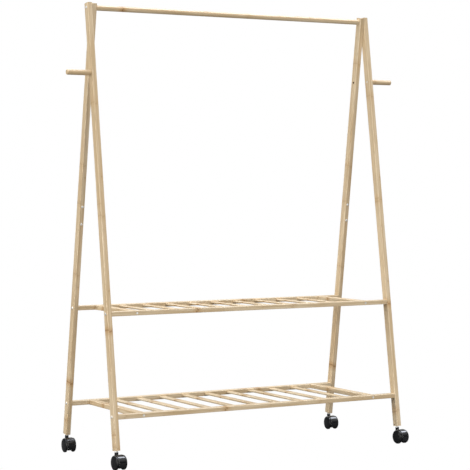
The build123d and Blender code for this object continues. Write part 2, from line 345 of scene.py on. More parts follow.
class Grain(Enum):
    """Which way a piece's fibres run: turn about X, then the axes along, over and through it."""

    RACK_LENGTH = (0.0, (0, 1, 2))
    RACK_DEPTH = (0.0, (1, 2, 0))
    FRONT_LEG = (LEAN, (2, 1, 0))
    BACK_LEG = (-LEAN, (2, 1, 0))

    def along(self, point: Vector) -> float:
        """How far along the fibres a point is.

        Args:
            point: in the rack's frame, in metres.

        Returns:
            Its coordinate in the pattern, in metres.
        """
        turn, (axis, _, _) = self.value
        return (Matrix.Rotation(turn, 3, "X") @ point)[axis]


@dataclass(frozen=True)
class Bamboo:
    """Laminated bamboo under satin varnish: pale strips, fine fibres and a knuckle now and then.

    Attributes:
        name: the material's name.
        grain: which way the fibres run.
        knuckle_at: place of the clearest knuckle along the fibres, in metres.
        knuckle_spacing: from one knuckle to the next.
        knuckle_width: half the width of a knuckle's mark.
        lamination: thickness of one glued layer.
        layer_offset: moves the layers' seams, in metres.
        toast: how far the whole piece leans to the warm colour, from 0 to 1.
        pale: colour of the light strips.
        warm: colour of the darker strips.
        amber: colour of the stain round a knuckle.
        brown: colour of the knuckles and glue lines.
        hole_shade: painted shade on the wall of the unused drilled hole, a dark brown that stands in for
            the shadow inside it.
        open_hole: Y and Z of an unused hole along X, if the piece has one.
        hole_radius: of that hole's countersink.
        varnish: weight of the varnish.
        varnish_roughness: of its shine.
        roughness: of the wood under it.
        relief: depth of the fibres, in metres.
    """

    name: str
    grain: Grain
    knuckle_at: float = 0.1
    knuckle_spacing: float = 0.37
    knuckle_width: float = 3.8 * MM
    lamination: float = 5.33 * MM
    layer_offset: float = 0.0
    toast: float = 0.28
    pale: Colour = (0.675, 0.550, 0.380)
    warm: Colour = (0.530, 0.385, 0.220)
    amber: Colour = (0.470, 0.275, 0.105)
    brown: Colour = (0.250, 0.125, 0.045)
    hole_shade: Colour = (0.090, 0.045, 0.018)
    open_hole: tuple[float, float] | None = None
    hole_radius: float = 4.0 * MM
    varnish: float = 0.18
    varnish_roughness: float = 0.28
    roughness: float = 0.36
    relief: float = 0.18 * MM

    FIBRES: ClassVar[Pattern] = Pattern((14.0, 1500.0, 1500.0), 3.0, 0.65)
    STREAKS: ClassVar[Pattern] = Pattern((5.0, 210.0, 210.0), 2.0)
    CLOUDS: ClassVar[Pattern] = Pattern((7.0, 30.0, 30.0), 1.0)
    WOBBLES: ClassVar[Pattern] = Pattern((90.0, 90.0, 3.1), 1.0)
    SEAM_SHARE: ClassVar[float] = 0.05  # of a layer's thickness
    STAGGER: ClassVar[float] = 7.0 * MM  # of a knuckle, from one layer to the next
    WOBBLE: ClassVar[float] = 5.0 * MM  # of a knuckle, across one layer
    HALO_REACH: ClassVar[float] = 6.0  # in knuckle widths

    def make(self) -> bpy.types.Material:
        """Builds the material."""
        surface = Surface(self.name)
        graph = surface.graph
        turn, (along, over, through) = self.grain.value
        point = surface.place(turn)
        run, across, depth = point[along], point[over], point[through]

        layer = (depth - self.layer_offset) / self.lamination
        strip = math.floor(layer)
        seam = (0.5 - abs(layer - strip - 0.5)).ramp(self.SEAM_SHARE, 0.0)
        tone = graph.chance(strip + Salt.TONE.value)
        fibre = self.FIBRES.on(graph, run, across, depth)
        streak = self.STREAKS.on(graph, run, across, depth)
        cloud = self.CLOUDS.on(graph, run, across, depth)
        wobble = self.WOBBLES.on(graph, across, depth, strip)

        # One row of knuckles crosses every layer, and is clearest at knuckle_at.
        jump = graph.chance(strip + Salt.STAGGER.value) - 0.5
        stagger = jump * self.STAGGER + (wobble - 0.5) * self.WOBBLE
        cell, ridge, halo = self.knuckle(run - self.knuckle_at + stagger)
        luck = graph.chance(cell + Salt.CLEARNESS.value)
        clear = abs(cell).ramp(1.0, 0.0) * 0.70 + 0.20 + luck * 0.1

        # Each layer has fainter knuckles of its own.
        own_shift = graph.chance(strip + Salt.OWN_SHIFT.value) * self.knuckle_spacing
        own_cell, own_ridge, own_halo = self.knuckle(run + own_shift + stagger)
        own_luck = graph.chance(own_cell + strip * Salt.CLEARNESS.value)
        faint = own_luck.ramp(0.35, 0.9) * 0.45
        ridge = ridge * clear + own_ridge * faint
        halo = halo * clear + own_halo * faint

        # The factors here say how strongly each mark shows over what lies under it.
        warmth = tone * 0.40 + (streak - 0.5) * 2.3 + (cloud - 0.5) * 0.9 + self.toast
        colour = graph.blend(warmth.ramp(0.0, 1.0), self.pale, self.warm)
        colour = graph.blend(fibre.ramp(0.50, 0.76) * 0.42, colour, self.warm)
        colour = graph.blend(halo * 0.70, colour, self.amber)
        colour = graph.blend(ridge * 0.80 + seam * 0.26, colour, self.brown)
        # Painted shade: the unused hole's wall is darkened to stand in for the shadow inside it.
        if self.open_hole:
            colour = graph.blend(self.inside_hole(surface), colour, self.hole_shade)
        roughness = self.roughness + (cloud - 0.5) * 0.12 + (fibre - 0.5) * 0.16 + ridge * 0.1
        surface.set(
            base_color=colour,
            roughness=roughness,
            coat_weight=self.varnish,
            coat_roughness=self.varnish_roughness,
        )
        surface.relief(fibre * 0.35 + streak * 0.3 + ridge * 0.6 - seam * 0.5, self.relief)
        return surface.material

    def inside_hole(self, surface: Surface) -> Value:
        """Finds the wall of the unused hole, where the painted shade goes.

        Args:
            surface: the material being built.

        Returns:
            1 on the hole's wall and 0 on the piece's faces.
        """
        _, y, z = surface.place()
        off_y, off_z = y - self.open_hole[0], z - self.open_hole[1]
        distance = surface.graph.math("SQRT", off_y * off_y + off_z * off_z)
        outside, inside = 1.12 * self.hole_radius, 0.96 * self.hole_radius
        return distance.ramp(outside, inside)

    def knuckle(self, run: Value) -> tuple[Value, Value, Value]:
        """Marks the knuckles of a cane that was split into these strips.

        Args:
            run: distance along the fibres from one of its knuckles, in metres.

        Returns:
            Which knuckle is nearest, its brown line from 0 to 1, and the warm stain round it.
        """
        reach = run / self.knuckle_spacing + 0.5
        cell = math.floor(reach)
        off = abs(reach - cell - 0.5) * self.knuckle_spacing
        ridge = off.ramp(self.knuckle_width, 0.0)
        return cell, ridge, off.ramp(self.knuckle_width * self.HALO_REACH, 0.0)


@dataclass(frozen=True)
class MouldedPlastic:
    """Black moulded plastic, with a fine spark-eroded texture and a little dust where it wears.

    Attributes:
        name: the material's name.
        colour: of the plastic.
        roughness: of its untouched skin.
        texture: depth of the moulded texture, in metres.
        dust: how much dust and scuffing shows, from 0 to 1.
        polish: how much of a polished mould's shine lies over it, from 0 to 1.
        polish_roughness: of that shine.
        ior: of the skin, low so that the plastic stays black away from the lights.
        dust_colour: of the dust.
        worn_height: below this, in metres, the scuffs get stronger.
    """

    name: str
    colour: Colour = (0.0028, 0.0031, 0.0042)
    roughness: float = 0.24
    texture: float = 0.018 * MM
    dust: float = 0.25
    polish: float = 0.3
    polish_roughness: float = 0.08
    ior: float = 1.36
    dust_colour: Colour = (0.105, 0.100, 0.095)
    worn_height: float = 0.030

    SPARK: ClassVar[Pattern] = Pattern((2600.0, 2600.0, 2600.0), 2.0)
    CLOUDS: ClassVar[Pattern] = Pattern((55.0, 55.0, 55.0), 3.0, 0.6)
    SCUFFS: ClassVar[Pattern] = Pattern((90.0, 420.0, 420.0), 4.0, 0.7)

    def make(self) -> bpy.types.Material:
        """Builds the material."""
        surface = Surface(self.name)
        graph = surface.graph
        x, y, z = surface.place()
        spark = self.SPARK.on(graph, x, y, z)
        cloud = self.CLOUDS.on(graph, x, y, z)
        scuff = self.SCUFFS.on(graph, x, y, z).ramp(0.56, 0.72)
        worn = z.ramp(self.worn_height, 0.0) * 0.6 + 0.25
        grey = cloud.ramp(0.45, 0.75) * 0.35 + scuff * worn
        colour = graph.blend(grey * self.dust, self.colour, self.dust_colour)
        roughness = self.roughness + (cloud - 0.5) * 0.14 + scuff * worn * self.dust * 0.9
        surface.set(
            base_color=colour,
            roughness=roughness,
            ior=self.ior,
            coat_weight=self.polish,
            coat_roughness=self.polish_roughness,
        )
        surface.relief(spark * 0.6 + cloud * 0.4, self.texture)
        return surface.material


@dataclass(frozen=True)
class PlatedMetal:
    """Plated or plain steel and brass, with fine turning marks.

    Attributes:
        name: the material's name.
        colour: of the metal's reflection.
        roughness: of the polished part.
        shine: how metallic it is, lower where the plating is milky.
        dulling: what its duller patches keep of the colour.
        relief: depth of the turning marks, in metres.
    """

    name: str
    colour: Colour = (0.86, 0.85, 0.83)
    roughness: float = 0.38
    shine: float = 0.72
    dulling: float = 0.72
    relief: float = 0.02 * MM

    MARKS: ClassVar[Pattern] = Pattern((900.0, 900.0, 3800.0), 3.0, 0.6)
    CLOUDS: ClassVar[Pattern] = Pattern((160.0, 160.0, 160.0), 2.0)

    def make(self) -> bpy.types.Material:
        """Builds the material."""
        surface = Surface(self.name)
        graph = surface.graph
        x, y, z = surface.place()
        marks = self.MARKS.on(graph, x, y, z)
        cloud = self.CLOUDS.on(graph, x, y, z)
        dull = tuple(channel * self.dulling for channel in self.colour)
        colour = graph.blend(cloud.ramp(0.4, 0.8) * 0.5, self.colour, dull)
        roughness = self.roughness + (marks - 0.5) * 0.2 + (cloud - 0.5) * 0.1
        surface.set(base_color=colour, metallic=self.shine, roughness=roughness)
        surface.relief(marks, self.relief)
        return surface.material


# ---- meshes --------------------------------------------------------------------------------
def dress(node: str, material: bpy.types.Material) -> bpy.types.Object:
    """Gives a CAD node its finish.

    Args:
        node: the node's name.
        material: its new material.

    Returns:
        The node's object.
    """
    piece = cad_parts[node]
    piece.data.materials.clear()
    piece.data.materials.append(material)
    return piece


def islands(node: str) -> list[list[Vector]]:
    """The separate solids of a CAD node.

    Args:
        node: the node's name.

    Returns:
        The corner points of each solid.
    """
    mesh = bmesh.new()
    mesh.from_mesh(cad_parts[node].data)
    bmesh.ops.remove_doubles(mesh, verts=mesh.verts, dist=WELD)
    left, found = set(mesh.verts), []
    while left:
        queue, solid = [left.pop()], []
        while queue:
            corner = queue.pop()
            solid.append(corner.co.copy())
            near = {edge.other_vert(corner) for edge in corner.link_edges} & left
            left -= near
            queue.extend(near)
        found.append(solid)
    mesh.free()
    return sorted(found, key=lambda solid: [round(number, 4) for number in solid_middle(solid)])


def solid_middle(points: Sequence[Vector]) -> Vector:
    """The middle of the box round some points."""
    low = Vector(min(point[axis] for point in points) for axis in range(3))
    high = Vector(max(point[axis] for point in points) for axis in range(3))
    return (low + high) / 2


@dataclass(frozen=True)
class Ring:
    """One ring of corners of a turned or broached shape.

    Attributes:
        height: along the shape's axis, in metres.
        radius: gives the distance from the axis at an angle.
    """

    height: float
    radius: Callable[[float], float]


def circle(radius: float) -> Callable[[float], float]:
    """The outline of a round."""
    return lambda angle: radius


def hexagon(across: float) -> Callable[[float], float]:
    """The outline of a hexagon.

    Args:
        across: distance between its flats.

    Returns:
        The distance from the middle at each angle.
    """
    sixth = math.pi / 3
    return lambda angle: across / 2 / math.cos(angle % sixth - sixth / 2)


def cross(reach: float, width: float) -> Callable[[float], float]:
    """The outline of a cross.

    Args:
        reach: from the middle to an arm's end.
        width: of an arm.

    Returns:
        The distance from the middle at each angle.
    """

    def radius(angle: float) -> float:
        """The further of the two arms."""
        along, over = abs(math.cos(angle)) + 1e-9, abs(math.sin(angle)) + 1e-9
        return max(min(reach / along, width / 2 / over), min(reach / over, width / 2 / along))

    return radius


def turned_mesh(name: str, rings: Sequence[Ring], corners: int = 48) -> bpy.types.Object:
    """Makes a closed shape from rings about +Z, with a point in the middle of both ends.

    Args:
        name: the object's name.
        rings: from the outside end to the far end.
        corners: in each ring.

    Returns:
        The object, in the scene.
    """
    mesh = bmesh.new()
    loops = []
    for ring in rings:
        loop = []
        for step in range(corners):
            angle = 2 * math.pi * step / corners
            out = ring.radius(angle)
            loop.append(mesh.verts.new((math.cos(angle) * out, math.sin(angle) * out, ring.height)))
        loops.append(loop)
    for upper, lower in zip(loops, loops[1:]):
        for step in range(corners):
            after = (step + 1) % corners
            mesh.faces.new((upper[step], upper[after], lower[after], lower[step]))
    for loop, height in ((loops[0], rings[0].height), (loops[-1], rings[-1].height)):
        middle = mesh.verts.new((0.0, 0.0, height))
        for step in range(corners):
            mesh.faces.new((middle, loop[step], loop[(step + 1) % corners]))
    bmesh.ops.recalc_face_normals(mesh, faces=mesh.faces)
    data = bpy.data.meshes.new(name)
    mesh.to_mesh(data)
    mesh.free()
    return linked(name, data)


def linked(name: str, data: bpy.types.Mesh) -> bpy.types.Object:
    """Puts a mesh in the scene under a name."""
    made = bpy.data.objects.new(name, data)
    bpy.context.scene.collection.objects.link(made)
    return made


def smooth_by_angle(mesh: bpy.types.Mesh, limit: float) -> None:
    """Shades a mesh smooth, but sharp at its corners.

    Args:
        mesh: the mesh.
        limit: the sharpest smooth edge, in degrees.
    """
    shaped = bmesh.new()
    shaped.from_mesh(mesh)
    for face in shaped.faces:
        face.smooth = True
    for edge in shaped.edges:
        edge.smooth = len(edge.link_faces) == 2 and edge.calc_face_angle(0.0) < math.radians(limit)
    shaped.to_mesh(mesh)
    shaped.free()


# ---- geometry trees ------------------------------------------------------------------------
@dataclass
class Maker:
    """A Geometry Nodes tree with named inputs, and how it becomes a plain mesh.

    Attributes:
        name: the tree's name.
        graph: the tree.
        given: the tree's input node.
    """

    name: str
    graph: Graph = field(init=False)
    given: bpy.types.Node = field(init=False)

    def __post_init__(self) -> None:
        """Makes the empty tree, with its geometry input and output."""
        tree = bpy.data.node_groups.new(self.name, "GeometryNodeTree")
        tree.interface.new_socket("Geometry", in_out="INPUT", socket_type="NodeSocketGeometry")
        tree.interface.new_socket("Geometry", in_out="OUTPUT", socket_type="NodeSocketGeometry")
        self.graph = Graph(tree)
        self.given = self.graph.add("NodeGroupInput")

    def input(self, name: str, kind: str) -> None:
        """Adds a named input.

        Args:
            name: the input's name.
            kind: the end of its socket's type name, such as Float.
        """
        interface = self.graph.tree.interface
        interface.new_socket(name, in_out="INPUT", socket_type=f"NodeSocket{kind}")

    def read(self, name: str) -> bpy.types.NodeSocket:
        """The socket that gives a named input inside the tree."""
        return self.given.outputs[name]

    def close(self, instances: object) -> None:
        """Ends the tree: instances made real, with the material set.

        Args:
            instances: the geometry to finish.
        """
        real = self.graph.add("GeometryNodeRealizeInstances", None, {0: instances})
        knobs = {"Geometry": real, "Material": self.read("Material")}
        dressed = self.graph.add("GeometryNodeSetMaterial", None, knobs)
        self.graph.add("NodeGroupOutput", None, {0: dressed})

    def grow(self, name: str, base: bpy.types.Mesh, **values: object) -> bpy.types.Object:
        """Runs the tree on a mesh and keeps the result as a plain mesh.

        Args:
            name: the new piece's name.
            base: the mesh that the tree starts from.
            values: the tree's inputs, named with underscores for spaces.

        Returns:
            The piece, at the origin, with no modifier.
        """
        seed = linked(f"{name}_base", base)
        modifier = seed.modifiers.new(self.name, "NODES")
        modifier.node_group = self.graph.tree
        for item in self.graph.tree.interface.items_tree:
            key = item.name.lower().replace(" ", "_")
            if item.in_out == "INPUT" and key in values:
                modifier[item.identifier] = values[key]
        seed.update_tag()
        depsgraph = bpy.context.evaluated_depsgraph_get()
        plain = bpy.data.meshes.new_from_object(seed.evaluated_get(depsgraph))
        plain.name = name
        bpy.data.objects.remove(seed)
        return linked(name, plain)


def slat_row_tree() -> Maker:
    """A tree that lays out a row of eased bars along X, each running along Y.

    Returns:
        The tree. Its inputs are First, Count, Pitch, Length, Width, Thickness, Easing and Material.
    """
    maker = Maker("slat_row")
    for name in ("Pitch", "Length", "Width", "Thickness", "Easing"):
        maker.input(name, "Float")
    maker.input("Count", "Int")
    maker.input("First", "Vector")
    maker.input("Material", "Material")
    graph = maker.graph
    outline = graph.add(
        "GeometryNodeCurvePrimitiveQuadrilateral",
        None,
        {"Width": maker.read("Width"), "Height": maker.read("Thickness")},
    )
    eased = graph.add(
        "GeometryNodeFilletCurve",
        {"mode": "POLY"},
        {"Curve": outline, "Radius": maker.read("Easing"), "Count": 4},
    )
    half = Value(graph, maker.read("Length")) * 0.5
    path = graph.add(
        "GeometryNodeCurvePrimitiveLine",
        None,
        {"Start": graph.vector(0.0, half, 0.0), "End": graph.vector(0.0, 0.0 - half, 0.0)},
    )
    upright = graph.add("GeometryNodeSetCurveNormal", {"mode": "Z_UP"}, {"Curve": path})
    knobs = {"Curve": upright, "Profile Curve": eased, "Fill Caps": True}
    bar = graph.add("GeometryNodeCurveToMesh", None, knobs)
    step = graph.vector(maker.read("Pitch"), 0.0, 0.0)
    knobs = {"Count": maker.read("Count"), "Start Location": maker.read("First"), "Offset": step}
    places = graph.add("GeometryNodeMeshLine", None, knobs)
    knobs = {"Points": places, "Instance": bar}
    maker.close(graph.add("GeometryNodeInstanceOnPoints", None, knobs))
    return maker


def fastener_tree() -> Maker:
    """A tree that sets one fastener on each point, its axis along the point's own direction.

    Returns:
        The tree. Its inputs are Fastener, Seed and Material.
    """
    maker = Maker("fasteners")
    maker.input("Fastener", "Object")
    maker.input("Seed", "Int")
    maker.input("Material", "Material")
    graph = maker.graph
    knobs = {"Object": maker.read("Fastener"), "As Instance": True}
    shape = graph.add("GeometryNodeObjectInfo", None, knobs)
    outward = graph.add(
        "GeometryNodeInputNamedAttribute",
        {"data_type": "FLOAT_VECTOR"},
        {"Name": "outward"},
    )
    lined = graph.add("FunctionNodeAlignRotationToVector", {"axis": "Z"}, {"Vector": outward})
    spin = graph.add(
        "FunctionNodeRandomValue",
        {"data_type": "FLOAT"},
        {2: 0.0, 3: 2 * math.pi, "Seed": maker.read("Seed")},
    )
    turn = graph.add("FunctionNodeEulerToRotation", None, {0: graph.vector(0.0, 0.0, spin.outputs[1])})
    turned = graph.add(
        "FunctionNodeRotateRotation",
        {"rotation_space": "LOCAL"},
        {"Rotation": lined, "Rotate By": turn},
    )
    knobs = {
        "Points": maker.read("Geometry"),
        "Instance": shape.outputs["Geometry"],
        "Rotation": turned,
    }
    maker.close(graph.add("GeometryNodeInstanceOnPoints", None, knobs))
    return maker


# ---- sub-assemblies ------------------------------------------------------------------------
@dataclass
class Legs:
    """The four two-piece legs of the A-frames.

    Attributes:
        knuckle_heights: where each leg's clearest knuckle is, above the floor.
        toast: how warm each leg's colour is.
        layer: thickness of a leg's glued layers.
    """

    knuckle_heights: dict[str, float] = field(
        default_factory=lambda: {
            "left_front": 0.435,
            "left_back": 0.236,
            "right_front": 0.483,
            "right_back": 0.236,
        }
    )
    toast: dict[str, float] = field(
        default_factory=lambda: {
            "left_front": 0.33,
            "left_back": 0.28,
            "right_front": 0.26,
            "right_back": 0.22,
        }
    )
    layer: float = 5.33 * MM

    def build(self) -> list[bpy.types.Object]:
        """Dresses both halves of every leg.

        Returns:
            The pieces.
        """
        pieces = []
        for corner, height in self.knuckle_heights.items():
            grain = Grain.FRONT_LEG if corner.endswith("front") else Grain.BACK_LEG
            middle = (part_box(f"leg_{corner}_lower")[0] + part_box(f"leg_{corner}_lower")[1]) / 2
            spot = middle + Vector((0.0, self.run_out(corner) * (height - middle.z), height - middle.z))
            finish = Bamboo(
                f"bamboo_leg_{corner}",
                grain,
                knuckle_at=grain.along(spot),
                lamination=self.layer,
                layer_offset=middle.x,
                toast=self.toast[corner],
                open_hole=self.unused_hole() if corner.endswith("back") else None,
            )
            material = finish.make()
            pieces += [dress(f"leg_{corner}_{half}", material) for half in ("lower", "upper")]
        return pieces

    def unused_hole(self) -> tuple[float, float]:
        """Y and Z of the hole in a back leg that answers the front leg's peg screw."""
        peg = sum(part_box("coat_peg_left"), Vector()) / 2
        return -peg.y, peg.z

    def run_out(self, corner: str) -> float:
        """How far a leg moves along Y for each metre up."""
        return math.tan(LEAN) * (1 if corner.endswith("front") else -1)


@dataclass
class RailAndPegs:
    """The hanging rail and the two coat pegs, all turned dowels.

    Attributes:
        knuckle_at: place of a knuckle along the hanging rail.
        knuckle_spacing: to the rail's next knuckle.
        peg_knuckle: place of a knuckle in the pegs' pattern along X.
        layer: thickness of the dowels' layers.
        toast: how warm their colour is.
    """

    knuckle_at: float = -0.424
    knuckle_spacing: float = 0.481
    peg_knuckle: float = 0.2
    layer: float = 6.0 * MM
    toast: float = 0.42

    def build(self) -> list[bpy.types.Object]:
        """Dresses the dowels.

        Returns:
            The pieces.
        """
        rail = Bamboo(
            "bamboo_rail",
            Grain.RACK_LENGTH,
            knuckle_at=self.knuckle_at,
            knuckle_spacing=self.knuckle_spacing,
            lamination=self.layer,
            toast=self.toast,
        )
        pegs = Bamboo(
            "bamboo_pegs",
            Grain.RACK_LENGTH,
            knuckle_at=self.peg_knuckle,
            lamination=self.layer,
            toast=self.toast,
        ).make()
        return [dress("hanging_rail", rail.make())] + [dress(f"coat_peg_{side}", pegs) for side in SIDES]


@dataclass
class Shelf:
    """One slatted shelf: two long rails, two end bars and a row of slats.

    Attributes:
        name: lower or upper.
        front_knuckle: place of the front rail's clearest knuckle along X.
        back_knuckle: the same on the back rail.
        slat_count: number of slats.
        slat_easing: radius on the slats' long edges.
        layer: thickness of the rails' glued layers.
        slat_knuckle: place of the slats' clearest knuckle along Y.
        slat_knuckle_spacing: to their next knuckle.
        slat_tone_width: the length of shelf that has one tone, which is about one slat's share.
        slat_tone_offset: moves the seams of tone between the slats.
    """

    name: str
    front_knuckle: float
    back_knuckle: float
    slat_count: int = 9
    slat_easing: float = 0.8 * MM
    layer: float = 5.0 * MM
    slat_knuckle: float = 0.065
    slat_knuckle_spacing: float = 0.29
    slat_tone_width: float = 0.0893
    slat_tone_offset: float = 0.0446

    def build(self, rows: Maker) -> list[bpy.types.Object]:
        """Dresses the rails and bars, and lays the slats.

        Args:
            rows: the tree that lays slats.

        Returns:
            The pieces.
        """
        pieces = []
        for end, knuckle in (("front", self.front_knuckle), ("back", self.back_knuckle)):
            finish = Bamboo(
                f"bamboo_{self.name}_{end}_rail",
                Grain.RACK_LENGTH,
                knuckle_at=knuckle,
                lamination=self.layer,
                layer_offset=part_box(f"{self.name}_shelf_{end}_rail")[0].z + self.layer / 2,
            )
            pieces.append(dress(f"{self.name}_shelf_{end}_rail", finish.make()))
        cross_grain = Bamboo(
            f"bamboo_{self.name}_slats",
            Grain.RACK_DEPTH,
            knuckle_at=self.slat_knuckle,
            knuckle_spacing=self.slat_knuckle_spacing,
            lamination=self.slat_tone_width,
            layer_offset=self.slat_tone_offset,
        ).make()
        pieces += [dress(f"{self.name}_shelf_{side}_bar", cross_grain) for side in SIDES]
        pieces.append(self.slats(rows, cross_grain))
        return pieces

    def slats(self, rows: Maker, material: bpy.types.Material) -> bpy.types.Object:
        """Lays the row of slats over the CAD ones.

        Args:
            rows: the tree that lays slats.
            material: their finish.

        Returns:
            The row.
        """
        nodes = [f"{self.name}_shelf_slat_{number + 1}" for number in range(self.slat_count)]
        low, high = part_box(nodes[0])
        last = sum(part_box(nodes[-1]), Vector()) / 2
        first = (low + high) / 2
        size = high - low
        row = rows.grow(
            f"{self.name}_shelf_slats",
            bpy.data.meshes.new("row"),
            first=first,
            count=self.slat_count,
            pitch=(last.x - first.x) / (self.slat_count - 1),
            length=size.y,
            width=size.x,
            thickness=size.z,
            easing=self.slat_easing,
            material=material,
        )
        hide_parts(*nodes)
        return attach(row, "frame")


@dataclass
class Casters:
    """The four twin-wheel casters, with their stems and sockets.

    Attributes:
        hood: finish of the hoods, from a polished mould.
        wheel: finish of the wheels, duller and dustier.
        axle: finish of the axles.
        stem: finish of the stems and their sockets.
    """

    hood: MouldedPlastic = MouldedPlastic(
        "caster_body_plastic", roughness=0.14, texture=0.004 * MM, dust=0.04, polish=1.0
    )
    wheel: MouldedPlastic = MouldedPlastic(
        "caster_wheel_plastic", roughness=0.33, dust=0.09, polish=0.12
    )
    axle: PlatedMetal = PlatedMetal("axle_steel", colour=(0.56, 0.56, 0.57), roughness=0.30)
    stem: PlatedMetal = PlatedMetal("stem_zinc", colour=(0.84, 0.84, 0.84), roughness=0.36)

    def build(self) -> list[bpy.types.Object]:
        """Dresses every caster.

        Returns:
            The pieces.
        """
        hood, wheel = self.hood.make(), self.wheel.make()
        axle, stem = self.axle.make(), self.stem.make()
        pieces = []
        for side in SIDES:
            for end in ENDS:
                caster = f"caster_{side}_{end}"
                pieces.append(dress(f"{caster}_hood", hood))
                pieces.append(dress(f"{caster}_axle", axle))
                pieces += [dress(f"{caster}_{half}_wheel", wheel) for half in SIDES]
        pieces.append(dress("caster_stems", stem))
        pieces.append(dress("caster_sockets", stem))
        return pieces


class Drive(Enum):
    """What a driver fits in a fastener's head: the rings of its recess, from the floor up."""

    HEX_SOCKET = (
        Ring(-1.4 * MM, hexagon(2.9 * MM)),
        Ring(-0.1 * MM, hexagon(3.0 * MM)),
        Ring(0.0, hexagon(3.2 * MM)),
    )
    CROSS = (
        Ring(-1.8 * MM, cross(0.9 * MM, 0.6 * MM)),
        Ring(-0.1 * MM, cross(2.2 * MM, 1.1 * MM)),
        Ring(0.0, cross(2.4 * MM, 1.3 * MM)),
    )


@dataclass
class FastenerKind:
    """A kind of fastener, set wherever the CAD group has one.

    Attributes:
        node: the CAD group that it stands for, which names the piece too.
        drive: what its head takes.
        head_radius: of its head.
        head_height: how far the head stands out, or is let in if it is countersunk.
        shank_radius: of its shank.
        outward: gives the direction that a head at a point faces.
        seed: for the turn of each head.
    """

    node: str
    drive: Drive
    head_radius: float
    head_height: float
    shank_radius: float
    outward: Callable[[Vector], Vector]
    seed: int

    SHOULDER: ClassVar[float] = 2.2 * MM  # width of a domed head's rounded rim
    DOME_STEPS: ClassVar[int] = 8
    BREAK: ClassVar[float] = 0.2 * MM  # width of a flat head's bevel
    BREAK_DEPTH: ClassVar[float] = 0.15 * MM
    TIP: ClassVar[float] = 0.6 * MM  # length of the shank's tapered tip
    TIP_SHARE: ClassVar[float] = 0.7  # what the tip keeps of the shank's radius
    SMOOTH_LIMIT: ClassVar[float] = 35.0  # in degrees

    def face(self) -> list[Ring]:
        """The head's face round the recess, domed for a hex socket and flat for a cross."""
        if self.drive is Drive.CROSS:
            flat = Ring(0.0, circle(self.head_radius - self.BREAK))
            return [flat, Ring(-self.BREAK_DEPTH, circle(self.head_radius))]
        crown = self.head_radius - self.SHOULDER
        rings = [Ring(0.0, circle(crown))]
        for step in range(1, self.DOME_STEPS + 1):
            angle = step * math.pi / (2 * self.DOME_STEPS)
            reach = crown + (self.head_radius - crown) * math.sin(angle)
            rings.append(Ring(-self.head_height * (1 - math.cos(angle)), circle(reach)))
        return rings

    def rings(self, length: float) -> list[Ring]:
        """The fastener's outline, from the floor of its drive to the shank's tip.

        Args:
            length: from the head's face to the tip.

        Returns:
            The rings, with the head's outer face at 0 and the shank below.
        """
        shank = circle(self.shank_radius)
        tip = circle(self.shank_radius * self.TIP_SHARE)
        below = [Ring(-self.head_height, shank), Ring(self.TIP - length, shank), Ring(-length, tip)]
        return [*self.drive.value, *self.face(), *below]

    def build(self, setter: Maker, material: bpy.types.Material) -> bpy.types.Object:
        """Sets the fasteners.

        Args:
            setter: the tree that sets them.
            material: their finish.

        Returns:
            All of them, as one piece.
        """
        seats, directions, length = [], [], 0.0
        for solid in islands(self.node):
            out = self.outward(solid_middle(solid))
            reach = max(point.dot(out) for point in solid)
            length = reach - min(point.dot(out) for point in solid)
            head = [point for point in solid if point.dot(out) > reach - self.head_height]
            middle = solid_middle([point - out * point.dot(out) for point in head])
            seats.append(middle + out * (reach - middle.dot(out)))
            directions.append(out)
        points = bpy.data.meshes.new("seats")
        points.from_pydata(seats, [], [])
        given = points.attributes.new("outward", "FLOAT_VECTOR", "POINT")
        given.data.foreach_set("vector", [number for out in directions for number in out])
        shape = turned_mesh(f"{self.node}_shape", self.rings(length))
        smooth_by_angle(shape.data, self.SMOOTH_LIMIT)
        piece = setter.grow(
            f"{self.node}_set", points, fastener=shape, seed=self.seed, material=material
        )
        bpy.data.objects.remove(shape)
        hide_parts(self.node)
        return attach(piece, "frame")


def away_from_rack(middle: Vector) -> Vector:
    """Heads that face out of the rack's end nearest to them."""
    return Vector((math.copysign(1.0, middle.x), 0.0, 0.0))


def into_a_frame(middle: Vector) -> Vector:
    """Heads on a leg's inner face, square to the leg."""
    facing = -math.copysign(1.0, middle.y)
    return Vector((0.0, facing * math.cos(LEAN), -math.sin(LEAN)))


SHELF_REACH = 0.5  # every shelf screw is nearer to the rack's middle, and every peg screw further


def screw_outward(middle: Vector) -> Vector:
    """Pegs' screws face the rack's middle, and the shelves' face front or back."""
    if abs(middle.x) > SHELF_REACH:
        return Vector((-math.copysign(1.0, middle.x), 0.0, 0.0))
    return Vector((0.0, math.copysign(1.0, middle.y), 0.0))


def bolt(node: str, outward: Callable[[Vector], Vector], seed: int) -> FastenerKind:
    """A furniture bolt with a domed head."""
    return FastenerKind(
        node,
        Drive.HEX_SOCKET,
        head_radius=4.5 * MM,
        head_height=2.2 * MM,
        shank_radius=2.5 * MM,
        outward=outward,
        seed=seed,
    )


def wood_screw(node: str, outward: Callable[[Vector], Vector], seed: int) -> FastenerKind:
    """A countersunk wood screw."""
    return FastenerKind(
        node,
        Drive.CROSS,
        head_radius=4.0 * MM,
        head_height=2.2 * MM,
        shank_radius=2.0 * MM,
        outward=outward,
        seed=seed,
    )


